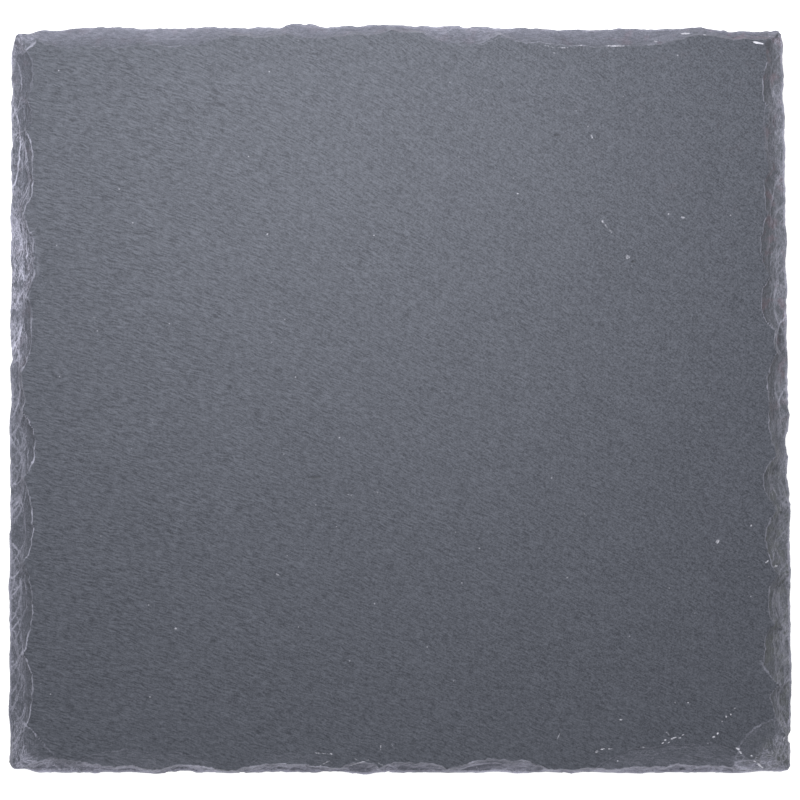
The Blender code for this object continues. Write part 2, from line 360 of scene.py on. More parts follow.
def select_faces(item, wanted):
    """In edit mode, select just the faces that wanted(centres, normals) marks as true."""
    bpy.ops.mesh.select_mode(type="FACE")
    bpy.ops.mesh.select_all(action="DESELECT")
    shape = bmesh.from_edit_mesh(item.data)
    centres = np.array([face.calc_center_median()[:] for face in shape.faces])
    normals = np.array([face.normal[:] for face in shape.faces])
    for face, chosen in zip(shape.faces, wanted(centres, normals)):
        if chosen:
            face.select_set(True)
    shape.select_flush_mode()
    bmesh.update_edit_mesh(item.data)


def mesh_places(mesh):
    """Return a mesh's vertices as rows of x, y, z."""
    places = np.empty(len(mesh.vertices) * 3)
    mesh.vertices.foreach_get("co", places)
    return places.reshape(-1, 3)


def turned(x, y, degrees):
    """Return places along and beside a direction that is turned from the x axis."""
    angle = math.radians(degrees)
    return x * math.cos(angle) + y * math.sin(angle), y * math.cos(angle) - x * math.sin(angle)


def smooth_step(low, high, value):
    """Return 0 below low and 1 above high, with a soft rise between them."""
    share = np.clip((value - low) / (high - low), 0.0, 1.0)
    return share * share * (3 - 2 * share)


def value_noise(x, y, size, seed):
    """Return smooth noise from -1 to 1, in lumps of about the given size."""
    table = np.random.default_rng(seed).uniform(-1, 1, (256, 256))
    grid_x = x / size
    grid_y = y / size
    column = np.floor(grid_x).astype(int)
    row = np.floor(grid_y).astype(int)
    share_x = smooth_step(0, 1, grid_x - column)
    share_y = smooth_step(0, 1, grid_y - row)
    low = table[column % 256, row % 256] * (1 - share_x)
    low = low + table[(column + 1) % 256, row % 256] * share_x
    high = table[column % 256, (row + 1) % 256] * (1 - share_x)
    high = high + table[(column + 1) % 256, (row + 1) % 256] * share_x
    return low * (1 - share_y) + high * share_y


def layered_noise(x, y, layers, seed):
    """Return smooth noise summed over layers, each with the size of its lumps and its height."""
    return sum(height * value_noise(x, y, size, seed + order)
               for order, (size, height) in enumerate(layers))


# --------------------------------------------------------------------------- the plate's outline

class Outline:
    """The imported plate's lip, as four side curves, with its working heights."""

    def __init__(self):
        places = mesh_places(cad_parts["slate_plate"].data)
        places = np.unique(np.round(places / MM, 3), axis=0)
        heights = np.unique(np.round(places[:, 2], 2))
        self.underside = heights[0]
        self.lip = heights[1]
        self.face = heights[-1]
        ring = places[np.abs(places[:, 2] - self.lip) < 0.02][:, :2]
        ring = ring[np.argsort(np.arctan2(ring[:, 1], ring[:, 0]))]
        start = np.argmax(ring @ np.array((-1, -1)))
        ring = np.roll(ring, -start, axis=0)
        turns = [np.argmax(ring @ np.array(way)) for way in ((1, -1), (1, 1), (-1, 1))]
        ring = np.vstack((ring, ring[:1]))
        stops = [0, *turns, len(ring) - 1]
        front, right, rear, left = (ring[low:high + 1] for low, high in zip(stops, stops[1:]))
        self.curves = {"front": front, "right": right, "rear": rear[::-1], "left": left[::-1]}

    def along(self, side, shares):
        """Return the points at shares of the way along a side, from its left or front end."""
        curve = self.curves[side]
        steps = np.linalg.norm(np.diff(curve, axis=0), axis=1)
        travelled = np.concatenate(([0.0], np.cumsum(steps))) / steps.sum()
        return np.stack([np.interp(shares, travelled, curve[:, axis]) for axis in (0, 1)], axis=1)

    def inside(self, across, deep):
        """Return the points at shares across and deep, and the lip points beside them."""
        lips = {
            "left": self.along("left", deep), "right": self.along("right", deep),
            "front": self.along("front", across), "rear": self.along("rear", across),
        }
        u = across[:, None]
        v = deep[:, None]
        ends = [self.along(side, np.array((0.0, 1.0))) for side in ("front", "rear")]
        corners = ((1 - u) * (1 - v) * ends[0][0] + u * (1 - v) * ends[0][1]
                   + (1 - u) * v * ends[1][0] + u * v * ends[1][1])
        places = ((1 - v) * lips["front"] + v * lips["rear"]
                  + (1 - u) * lips["left"] + u * lips["right"] - corners)
        return places, lips


def ragged_profile(side, seed):
    """Return the small ins and outs of one side's lip, as a function of the place along it."""
    spots = np.arange(-160.0, 160.0, 0.25)
    depth = layered_noise(spots, spots * 0 + seed * 3.7, LIP_ROUGHNESS, seed)
    for middle, half_length, swell in SWELLS[side]:
        offset = np.clip(np.abs(spots - middle) / half_length, 0, 1)
        depth = depth + swell * (1 - offset * offset) ** 2
    generator = random.Random(seed)
    bites = list(NOTCHES[side])
    for _ in range(NIBBLES_PER_SIDE):
        bites.append((generator.uniform(-148, 148), generator.uniform(0.8, 4.0),
                      generator.uniform(0.08, 0.38)))
    for middle, half_length, bite in bites:
        offset = np.clip(np.abs(spots - middle) / half_length, 0, 1)
        depth = depth - bite * np.sqrt(1 - offset * offset)
    return lambda along: np.interp(along, spots, depth + LIP_SHIFTS[side])


# ----------------------------------------------------------------------------- the plate's bevel

def rim_distance(along, inward, middle, half_length, reach):
    """Return how far inside a bow-shaped flake's rim each place is, and the flake's share."""
    offset = along - middle
    spread = np.abs(offset / half_length)
    share = spread ** FLAKE_BOW + inward / reach
    slope = np.hypot(FLAKE_BOW * spread ** (FLAKE_BOW - 1) / half_length, 1 / reach)
    return (1 - share) / slope, share


def crumbled(side, along):
    """Return how crumbled a side is at places along it."""
    return np.interp(along, *np.transpose(CRUMBLED_RUNS[side]))


class Bevel:
    """The heights and the paleness of the plate's top, worked out flake by flake."""

    def __init__(self, places, lips, outline):
        self.x = places[:, 0]
        self.y = places[:, 1]
        self.full = outline.face - outline.lip
        self.drop = np.zeros(len(places))
        self.lifted = np.zeros(len(places))
        self.rim = np.zeros(len(places))
        self.weight = np.zeros(len(places))
        self.pale = np.zeros(len(places))
        self.shade = np.zeros(len(places))
        self.inward = {side: np.linalg.norm(places - lips[side], axis=1) for side in SIDES}
        self.place = {"left": self.y, "right": self.y, "rear": self.x, "front": self.x}
        self.edge = np.minimum.reduce([self.inward[side] for side in SIDES])
        self.wobble = layered_noise(self.x, self.y, WAVINESS, 3)
        self.sway = 1.2 * value_noise(self.x, self.y, 8.0, 6)
        self.breaks = np.clip(0.75 + 0.6 * value_noise(self.x, self.y, 4.0, 21), 0.1, 1.3)

    def rim_of(self, side, flake):
        """Return the distance inside a side flake's rim, and the flake's share."""
        middle, half_length, reach = flake[:3]
        half_length = half_length * FLAKE_SPREAD
        along = self.place[side] + self.sway
        inward = self.inward[side] + self.wobble * min(1.0, reach / 5) - REACH_GAINS[side]
        return rim_distance(along, np.maximum(inward, 0), middle, half_length, reach)

    def line(self, depth, paleness, width):
        """Draw a pale rim, crushed stone and painted highlight, where a depth passes zero, over any
        weaker rim there.
        """
        rim = np.exp(-(depth / width) ** 2)
        weight = rim * (0.3 + paleness)
        stronger = weight > self.weight
        self.weight = np.where(stronger, weight, self.weight)
        self.rim = np.where(stronger, rim, self.rim)
        self.pale = np.where(stronger, paleness * self.breaks, self.pale)

    def strike_big(self, side, flake):
        """Take out one big flake, steep at its rim and flattening towards the lip."""
        depth, share = self.rim_of(side, flake)
        inside = depth > 0
        fall = RIM_STEP * smooth_step(0, 0.5, depth)
        fall = fall + (self.full + 0.6) * np.clip(1 - share, 0, 1) ** 0.72
        lower = inside & (fall > self.drop)
        self.drop = np.where(lower, fall, self.drop)
        near = np.abs(self.drop - fall * inside) < 1.2
        self.line(np.where(near, depth, FAR), flake[3] * PALE_SIDES[side], BIG_RIM_WIDTH)

    def strike_thin(self, side, flake, everywhere=False):
        """Take one thin step down inside a flake, or lift one layer off the face."""
        depth, _ = self.rim_of(side, flake)
        step = flake[3] * smooth_step(0.0, 0.4, depth)
        if everywhere:
            scuff = LAYER_SCUFF * flake[4] * PALE_SIDES[side] ** 2
            self.lifted = np.maximum(self.lifted, scuff * smooth_step(0.0, 0.8, depth))
        else:
            step = step * smooth_step(0.1, 0.8, self.drop)
            depth = np.where(self.drop > 0.15, depth, FAR)
        self.drop = self.drop + step
        self.line(depth, flake[4] * PALE_SIDES[side], THIN_RIM_WIDTH)

    def shade_flake(self, side, flake, shade):
        """Make the inside of a flake darker or paler than its surroundings."""
        depth, share = self.rim_of(side, flake)
        inside = smooth_step(0.0, 0.3, depth) * np.clip(0.35 + 1.1 * (1 - share), 0, 1)
        self.shade = self.shade * (1 - 0.7 * inside) + shade * inside

    def strike_corner(self, corner, setback, radius, step, paleness):
        """Take a flake off one corner, along an arc about a point set back from it."""
        tip = np.argmax(self.x * corner[0] + self.y * corner[1])
        middle_x = self.x[tip] + setback * corner[0]
        middle_y = self.y[tip] + setback * corner[1]
        distance = np.hypot(self.x - middle_x, self.y - middle_y) + self.wobble
        depth = radius - distance
        fall = step * smooth_step(0, 0.5, depth)
        fall = fall + (self.full - step) * np.clip(depth / (radius - setback), 0, 1) ** 2.5
        self.drop = np.maximum(self.drop, fall)
        self.lifted = np.maximum(self.lifted, CORNER_SCUFF * smooth_step(0.0, 0.8, depth))
        self.line(depth, paleness * smooth_step(3.0, 7.0, self.edge), CORNER_RIM_WIDTH)

    def strike_small(self, side, seed):
        """Scatter small thin flakes along the lower half of one side's bevel."""
        generator = random.Random(seed)
        for _ in range(SMALL_FLAKES_PER_SIDE):
            middle = generator.uniform(-148, 148)
            reach = generator.uniform(0.6, 6.0)
            half_length = reach * generator.uniform(1.0, 2.2) + generator.uniform(2.0, 5.0)
            pale = crumbled(side, middle)
            step = generator.uniform(0.08, 0.30) * pale
            paleness = generator.uniform(0.05, 1.0) ** 1.5 * pale
            self.strike_thin(side, (middle, half_length, reach, step, paleness))
            self.shade_flake(side, (middle, half_length, reach), generator.uniform(-0.8, 0.8))

    def plain_edge(self):
        """Break the whole edge away in a narrow bevel."""
        sway = 1 + 0.4 * value_noise(self.x, self.y, 11.0, 8)
        for side, width in PLAIN_BEVELS.items():
            share = (self.inward[side] + 0.4 * self.wobble) / (width * sway)
            self.drop = np.maximum(self.drop, self.full * np.clip(1 - share, 0, 1) ** 0.8)

    def terrace(self):
        """Turn the slopes into worn layer steps."""
        level = self.drop / LAYER + 0.5 * value_noise(self.x, self.y, 9.0, 12)
        whole = np.floor(level)
        stepped = (whole + smooth_step(0.45, 1.0, level - whole) - level) * LAYER
        self.drop = self.drop + 0.75 * stepped * smooth_step(0.2, 1.0, self.drop)

    def brighten_lips(self):
        """Leave the crushed lip itself pale, with a painted highlight along it, strongest at the
        front.
        """
        for side, paleness in PALE_AND_LIT_LIPS.items():
            self.line(self.inward[side] - 0.15, paleness, LIP_WIDTH)

    def finish(self):
        """Roughen the bevel and keep it above the lip; return its drop, rims and shade."""
        grit = layered_noise(self.x, self.y, GRIT, 14)
        self.drop = self.drop + grit * smooth_step(0.2, 1.2, self.drop)
        limit = self.full - 0.16 * self.edge + 0.25 * value_noise(self.x, self.y, 3.0, 16)
        self.drop = np.clip(np.minimum(self.drop, limit), 0, None)
        return self.drop, self.lifted, self.rim, np.clip(self.pale, 0, 1), self.shade


def struck_bevel(places, lips, outline):
    """Return the drop, the lifted layers, the rims, their paleness and the shade of the top."""
    bevel = Bevel(places, lips, outline)
    for side in SIDES:
        for flake in BIG_FLAKES[side]:
            bevel.strike_big(side, flake)
    bevel.plain_edge()
    for corner_flake in CORNER_FLAKES:
        bevel.strike_corner(*corner_flake)
    bevel.terrace()
    for order, side in enumerate(SIDES):
        for flake in THIN_FLAKES[side]:
            bevel.strike_thin(side, flake)
        bevel.strike_small(side, 40 + order)
        for layer in LIFTED_LAYERS[side]:
            bevel.strike_thin(side, layer, everywhere=True)
    bevel.brighten_lips()
    return bevel.finish()


def marked(places):
    """Return the paleness of the chips and scratches at each place, dark below 0 for bruises and a
    chip's painted shadow.
    """
    tone = np.zeros(len(places))
    wobble = 0.25 * value_noise(places[:, 0], places[:, 1], 0.8, 31)
    for x, y, length, width, turn, strength in MARKS:
        along, beside = turned(places[:, 0] - x, places[:, 1] - y, turn)
        share = np.sqrt((2 * along / length) ** 2 + (2 * beside / width) ** 2) + wobble
        here = strength * (1 - smooth_step(0.6, 1.25, share))
        tone = np.where(np.abs(here) > np.abs(tone), here, tone)
    return tone


# ------------------------------------------------------------------------------ the plate's mesh

def cell_stops(cells, size):
    """Return how the even cells of a sheet are drawn together towards its edges."""
    narrow = EDGE_CELLS * EDGE_CELL_WIDTH / size
    edge = EDGE_CELLS / cells
    return (0.0, edge, 1 - edge, 1.0), (0.0, narrow, 1 - narrow, 1.0)


def sheet_shares(places, outline):
    """Return each raw vertex's shares across and deep, with narrow cells along the edges."""
    width = np.ptp(outline.curves["front"][:, 0])
    depth = np.ptp(outline.curves["left"][:, 1])
    across = np.interp((places[:, 0] + 1) / 2, *cell_stops(CELLS_ACROSS, width))
    deep = np.interp((places[:, 1] + 1) / 2, *cell_stops(CELLS_DEEP, depth))
    return across, deep


def near_marks(places, extra):
    """Return which places are close to a chip or a scratch."""
    near = np.zeros(len(places), dtype=bool)
    for x, y, length, width, turn, _ in MARKS:
        along, beside = turned(places[:, 0] - x, places[:, 1] - y, turn)
        near |= (np.abs(along) < length / 2 + extra) & (np.abs(beside) < width / 2 + extra)
    return near


def raw_plate(outline):
    """Model the plate's cells: a grid with a bottom and walls, finer along its edges and marks."""
    bpy.ops.object.select_all(action="DESELECT")
    bpy.ops.mesh.primitive_grid_add(x_subdivisions=CELLS_ACROSS, y_subdivisions=CELLS_DEEP, size=2)
    plate = added_object("riven_slate")
    bpy.ops.object.mode_set(mode="EDIT")
    bpy.ops.mesh.select_all(action="SELECT")
    bpy.ops.mesh.extrude_region_move(TRANSFORM_OT_translate={"value": (0, 0, -1)})
    bpy.ops.mesh.select_all(action="SELECT")
    bpy.ops.mesh.normals_make_consistent(inside=False)

    def is_marked(centres, extra):
        places, _ = outline.inside(*sheet_shares(centres, outline))
        return (centres[:, 2] > -0.01) & near_marks(places, extra)

    def is_fine(centres, _normals):
        edge_x = 1 - 2 * EDGE_CELLS / CELLS_ACROSS
        edge_y = 1 - 2 * EDGE_CELLS / CELLS_DEEP
        edge = (np.abs(centres[:, 0]) > edge_x) | (np.abs(centres[:, 1]) > edge_y)
        edge |= np.abs(centres[:, 0]) + np.abs(centres[:, 1]) > edge_x + edge_y - 0.06
        return (edge & (centres[:, 2] > -0.01)) | is_marked(centres, MARK_MARGIN + 1.4)

    select_faces(plate, is_fine)
    bpy.ops.mesh.subdivide(number_cuts=3)
    select_faces(plate, lambda centres, _normals: is_marked(centres, MARK_MARGIN))
    bpy.ops.mesh.subdivide(number_cuts=1)
    bpy.ops.object.mode_set(mode="OBJECT")
    return plate


def add_attribute(mesh, name, values):
    """Store one number for each vertex."""
    attribute = mesh.attributes.new(name=name, type="FLOAT", domain="POINT")
    attribute.data.foreach_set("value", np.asarray(values, dtype=np.float32))


def add_group(item, name, weights):
    """Make a vertex group from an array of weights."""
    group = item.vertex_groups.new(name=name)
    steps = np.round(np.clip(weights, 0, 1) * 20).astype(int)
    for step in range(1, 21):
        group.add([int(index) for index in np.flatnonzero(steps == step)], step / 20, "REPLACE")
    return group


def displace(item, name, size, strength, group, direction):
    """Roughen a mesh with a cloudy displacement, in one vertex group."""
    texture = bpy.data.textures.new(name, "CLOUDS")
    texture.noise_scale = size * MM
    texture.noise_depth = 3
    modifier = item.modifiers.new(name, "DISPLACE")
    modifier.texture = texture
    modifier.texture_coords = "LOCAL"
    modifier.mid_level = 0.5
    modifier.strength = strength * MM
    modifier.direction = direction
    modifier.vertex_group = group
    apply_modifier(item, modifier)


def pushed_out(places, lips, inward, is_top):
    """Return the places in plan, moved in and out beside the plate's ragged lips."""
    flat = places.copy()
    amount = np.where(is_top, 1.0, UNDERSIDE_SHARE)
    for order, (side, axis, way) in enumerate(
            (("left", 0, -1), ("right", 0, 1), ("rear", 1, 1), ("front", 1, -1))):
        shift = ragged_profile(side, 60 + order)(lips[side][:, 1 - axis])
        flat[:, axis] += way * shift * amount * np.exp(-((inward[side] / LIP_REACH) ** 2))
    return flat


def sharpen_corners(flat, outline):
    """Pull the places round the corners out to where the sides would meet."""
    lip = np.vstack([outline.curves[side] for side in SIDES])
    for (side_x, side_y), amount in SHARPER_CORNERS.items():
        tip = lip[np.argmax(lip @ np.array((side_x, side_y)))]
        gap_x, gap_y = (lip - tip).T
        flank = lip[np.argmin(np.hypot(gap_x, gap_y + CORNER_ARM * side_y))]
        end = lip[np.argmin(np.hypot(gap_x + CORNER_ARM * side_x, gap_y))]
        meeting = np.array((flank[0], end[1]))
        distance = np.hypot(*(flat - tip).T)
        flat += amount * (meeting - tip) * np.exp(-(distance / CORNER_REACH) ** 2)[:, None]


def shaped_plate(outline):
    """Model the plate: outline, underside, flaked bevel, chips and the riven face."""
    plate = raw_plate(outline)
    mesh = plate.data
    raw = mesh_places(mesh)
    across, deep = sheet_shares(raw, outline)
    places, lips = outline.inside(across, deep)
    is_top = raw[:, 2] > -0.5

    inward = {side: np.linalg.norm(places - lips[side], axis=1) for side in SIDES}
    edge = np.minimum.reduce([inward[side] for side in SIDES])
    flat = pushed_out(places, lips, inward, is_top)
    sharpen_corners(flat, outline)

    drop, lifted, rim, pale, shade = top = np.zeros((5, len(raw)))
    top[:, is_top] = struck_bevel(
        places[is_top], {side: lips[side][is_top] for side in SIDES}, outline)
    tone = np.where(is_top, marked(places), 0.0)

    undercut = UNDERSIDE_DEPTH * np.exp(-((edge / UNDERSIDE_REACH) ** 2)) * ~is_top
    flat -= flat / np.linalg.norm(flat, axis=1)[:, None] * undercut[:, None]
    height = np.where(is_top, outline.face - drop - CHIP_DEPTH * np.abs(tone), outline.underside)
    placed = np.column_stack((flat, height)) * MM
    mesh.vertices.foreach_set("co", placed.ravel())
    mesh.update()

    broken = np.maximum(smooth_step(0.12, 0.8, drop), lifted)
    broken[~is_top] = 0.15 * np.exp(-((edge[~is_top] / 2.0) ** 2))
    nearest = np.argmin([inward[side] for side in SIDES], axis=0)
    near_lip = np.clip(1 - edge / DUST_REACH, 0, 1)
    dusted_and_lit = np.array([DUSTED_AND_LIT_SIDES[side] for side in SIDES])[nearest]
    crumbs = np.choose(nearest, [
        crumbled(side, places[:, 1 if side in ("left", "right") else 0]) for side in SIDES])
    # Per vertex: crushed dust, plus painted light that lifts the bevels facing away from the
    # softbox.
    looks = {
        "broken": broken,
        "dust_and_light": broken * dusted_and_lit * (0.35 + 0.65 * near_lip) + SCUFF_DUST * lifted,
        "crumble": broken * crumbs * (0.5 + 0.5 * near_lip) + SCUFF_CRUMBLE * lifted,
        "rim": rim, "pale": pale, "shade": shade, "mark": tone, "flank": nearest < 2,
    }
    for name, values in looks.items():
        add_attribute(mesh, name, values)

    add_group(plate, "bevel", broken * smooth_step(0.5, 1.4, edge))
    add_group(plate, "riven", is_top * (1 - broken) * smooth_step(2.0, 14.0, edge))
    for layer in RELIEF:
        displace(plate, *layer)
    plate.vertex_groups.clear()
    return plate


def lay_out(plate):
    """Give the plate a flat map: the top seen from above, the underside in a strip beside it."""
    mesh = plate.data
    layer = mesh.uv_layers.new(name="OFBake")
    places = mesh_places(mesh)
    low = places.min(axis=0)
    size = np.ptp(places, axis=0)
    loops = np.empty(len(mesh.loops), dtype=int)
    mesh.loops.foreach_get("vertex_index", loops)
    shares = (places[loops] - low)[:, :2] / size[:2]
    normals = np.empty(len(mesh.polygons) * 3)
    mesh.polygons.foreach_get("normal", normals)
    totals = np.empty(len(mesh.polygons), dtype=int)
    mesh.polygons.foreach_get("loop_total", totals)
    looks_up = np.repeat(normals.reshape(-1, 3)[:, 2] > 0, totals)
    top = shares * np.array((MAP_TOP, MAP_TOP * size[1] / size[0])) + MAP_MARGIN
    under = shares * np.array((1 - 2 * MAP_MARGIN, MAP_STRIP_HEIGHT))
    under = under + np.array((MAP_MARGIN, MAP_STRIP_START))
    spots = np.where(looks_up[:, None], top, under)
    layer.data.foreach_set("uv", spots.ravel().astype(np.float32))


# ------------------------------------------------------------------------------------- materials

class Nodes:
    """A short way to write a node material."""

    def __init__(self, name):
        self.material = bpy.data.materials.new(name)
        self.material.use_nodes = True
        self.tree = self.material.node_tree
        self.shader = self.tree.nodes["Principled BSDF"]
        coordinates = self.tree.nodes.new("ShaderNodeTexCoord")
        self.object = coordinates.outputs["Object"]

    def link(self, value, socket):
        """Join an output to a socket, or set the socket to a plain value."""
        if isinstance(value, bpy.types.NodeSocket):
            self.tree.links.new(value, socket)
        else:
            socket.default_value = value

    def math(self, operation, first, second=0.0, third=0.0):
        """Return the result of a Math node."""
        node = self.tree.nodes.new("ShaderNodeMath")
        node.operation = operation
        for socket, value in zip(node.inputs, (first, second, third)):
            self.link(value, socket)
        return node.outputs[0]

    def add(self, first, second):
        """Return first + second."""
        return self.math("ADD", first, second)

    def times(self, first, second):
        """Return first x second."""
        return self.math("MULTIPLY", first, second)

    def scaled(self, value, factor, offset):
        """Return value x factor + offset."""
        return self.math("MULTIPLY_ADD", value, factor, offset)

    def centred(self, value, strength):
        """Return a value that lies about 0.5 as a swing of some strength about 0."""
        return self.scaled(value, strength, -strength / 2)

    def between(self, value, low, high):
        """Return 0 where value is low and 1 where it is high, with a soft rise."""
        node = self.tree.nodes.new("ShaderNodeMapRange")
        node.interpolation_type = "SMOOTHSTEP"
        self.link(value, node.inputs["Value"])
        node.inputs["From Min"].default_value = low
        node.inputs["From Max"].default_value = high
        return node.outputs["Result"]

    def attribute(self, name):
        """Return a number stored on the mesh."""
        node = self.tree.nodes.new("ShaderNodeAttribute")
        node.attribute_name = name
        return node.outputs["Fac"]

    def noise(self, vector, size, detail=2.0, roughness=0.5, distortion=0.0):
        """Return noise whose lumps are about size millimetres across."""
        node = self.tree.nodes.new("ShaderNodeTexNoise")
        self.link(vector, node.inputs["Vector"])
        node.inputs["Scale"].default_value = 1 / (size * MM)
        node.inputs["Detail"].default_value = detail
        node.inputs["Roughness"].default_value = roughness
        node.inputs["Distortion"].default_value = distortion
        return node.outputs["Fac"]

    def cells(self, vector, size):
        """Return the distance to the nearest point of a scatter, size millimetres apart."""
        node = self.tree.nodes.new("ShaderNodeTexVoronoi")
        self.link(vector, node.inputs["Vector"])
        node.inputs["Scale"].default_value = 1 / (size * MM)
        return node.outputs["Distance"]

    def vector(self, x, y, z):
        """Return a vector from three numbers."""
        node = self.tree.nodes.new("ShaderNodeCombineXYZ")
        for socket, value in zip(node.inputs, (x, y, z)):
            self.link(value, socket)
        return node.outputs[0]

    def split(self, vector):
        """Return the three numbers of a vector."""
        node = self.tree.nodes.new("ShaderNodeSeparateXYZ")
        self.link(vector, node.inputs[0])
        return tuple(node.outputs)

    def mix(self, share, first, second):
        """Return a blend of two colours."""
        node = self.tree.nodes.new("ShaderNodeMix")
        node.data_type = "RGBA"
        node.clamp_factor = True
        sockets = {socket.identifier: socket for socket in (*node.inputs, *node.outputs)}
        self.link(share, sockets["Factor_Float"])
        for value, name in ((first, "A_Color"), (second, "B_Color")):
            is_made = isinstance(value, bpy.types.NodeSocket)
            self.link(value if is_made else (*value, 1.0), sockets[name])
        return sockets["Result_Color"]

    def ridges(self, vector, size, width):
        """Return thin winding lines: 1 on each line and 0 between them."""
        waves = self.noise(vector, size, detail=3, roughness=0.6, distortion=0.5)
        return self.between(self.math("ABSOLUTE", self.centred(waves, 1.0)), width, 0.0)

    def bump(self, height, distance, normal=None):
        """Return normals tilted by a height."""
        node = self.tree.nodes.new("ShaderNodeBump")
        node.inputs["Distance"].default_value = distance * MM
        self.link(height, node.inputs["Height"])
        if normal is not None:
            self.link(normal, node.inputs["Normal"])
        return node.outputs["Normal"]

    def finish(self, **sockets):
        """Set the shader's sockets and return the material."""
        for name, value in sockets.items():
            self.link(value, self.shader.inputs[name.replace("_", " ")])
        return self.material


def grain_places(nodes, x, y, z, stretch):
    """Return coordinates drawn out along the slate's grain, which slants, curves and waves."""
    bend = nodes.scaled(x, GRAIN_BEND / 2, GRAIN_SLOPE)
    shifted = nodes.add(x, -GRAIN_TWIST_START)
    twist = nodes.scaled(nodes.times(shifted, shifted), GRAIN_TWIST / 2, 1.0)
    across = nodes.math("MULTIPLY_ADD", x, bend, nodes.times(y, twist))
    waves = nodes.noise(nodes.object, GRAIN_WAVE_SIZE, detail=1)
    across = nodes.add(across, nodes.centred(waves, GRAIN_WAVE))
    along = nodes.math("MULTIPLY_ADD", y, -GRAIN_SLOPE, x)
    return nodes.vector(nodes.times(along, 1 / stretch), across, z)


def slate_material(look):
    """Make the slate: slanting grain, mottling, specks, crushed edges, pale rims with painted
    highlight, chips, and dark bruises with a chip's painted shadow.
    """
    nodes = Nodes("riven slate")
    x, y, z = nodes.split(nodes.object)
    drawn_out = grain_places(nodes, x, y, z, STREAK_STRETCH)
    streaks = nodes.noise(drawn_out, STREAK_SIZE, detail=2, roughness=0.6)
    bands = nodes.noise(drawn_out, 2.6, detail=1)
    calms = nodes.noise(grain_places(nodes, x, y, z, STREAK_STRETCH / 2), 8.0, detail=1)
    grain = nodes.noise(nodes.object, GRAIN_SIZE, detail=1, roughness=0.7)
    mottle = nodes.noise(nodes.object, 30.0, detail=4, roughness=0.6)
    crumbs = nodes.noise(nodes.object, 0.9, detail=3, roughness=0.65)
    patches = nodes.noise(nodes.object, 7.0, detail=3, roughness=0.6)

    plain = nodes.between(nodes.times(x, nodes.scaled(y, 3.0, 1.0)), -0.17, 0.19)
    strength = nodes.times(nodes.scaled(plain, -0.75, 1.5), nodes.scaled(calms, 0.8, 0.62))
    strokes = nodes.times(nodes.centred(streaks, look.streak_strength), strength)
    strength = nodes.scaled(plain, 0.65, 0.70)
    points = nodes.times(nodes.centred(grain, look.grain_strength), strength)
    tone = nodes.add(nodes.add(strokes, points), 0.5)
    for layer, strength in ((bands, 0.20), (mottle, 0.12)):
        tone = nodes.add(tone, nodes.centred(layer, strength))
    colour = nodes.mix(tone, look.face_dark, look.face_light)

    stains = nodes.between(patches, 0.58, 0.74)
    stain_place = nodes.times(nodes.between(x, 0.02, 0.11), nodes.between(y, 0.0, 0.10))
    stains = nodes.times(nodes.times(stains, stain_place), 0.10)
    colour = nodes.mix(stains, colour, look.stain_colour)
    scatter = nodes.cells(nodes.object, 6.5)
    sparse = nodes.between(patches, 0.50, 0.60)
    specks = nodes.times(nodes.between(scatter, 0.065, 0.02), sparse)
    colour = nodes.mix(nodes.times(specks, 0.35), colour, look.chip_colour)

    colour = nodes.mix(nodes.attribute("broken"), colour, crushed_colour(nodes, look, crumbs, tone))

    torn = nodes.centred(crumbs, 1.3)
    # Pale rims along the flakes' steps: crushed stone, and a painted highlight where light would
    # catch the step.
    rims = nodes.between(nodes.add(nodes.attribute("rim"), nodes.times(torn, 0.7)), 0.45, 1.0)
    colour = nodes.mix(nodes.times(rims, nodes.attribute("pale")), colour, look.rim_and_highlight_colour)
    tint = nodes.times(nodes.between(x, 0.136, 0.142), nodes.times(nodes.attribute("broken"), 0.12))
    colour = nodes.mix(tint, colour, look.olive_colour)
    mark = nodes.attribute("mark")
    chips = nodes.between(nodes.add(mark, torn), 0.30, 0.95)
    chips = nodes.times(chips, nodes.between(mark, 0.02, 0.25))
    colour = nodes.mix(chips, colour, look.chip_colour)
    # Dark marks: bruises, and the painted shadow beside a chip.
    bruises_and_shadows = nodes.math("MAXIMUM", nodes.times(mark, -1.0), 0.0)
    colour = nodes.mix(bruises_and_shadows, colour, tuple(0.5 * value for value in look.face_dark))

    relief = nodes.add(nodes.times(streaks, 0.7), nodes.times(grain, 0.5))
    normal = nodes.bump(relief, 0.16)
    normal = nodes.bump(nodes.times(crumbs, nodes.attribute("broken")), 0.40, normal=normal)
    nodes.shader.inputs["Specular IOR Level"].default_value = 0.3
    roughness = nodes.scaled(nodes.attribute("broken"), 0.12, 0.62)
    return nodes.finish(Base_Color=colour, Roughness=roughness, Normal=normal)


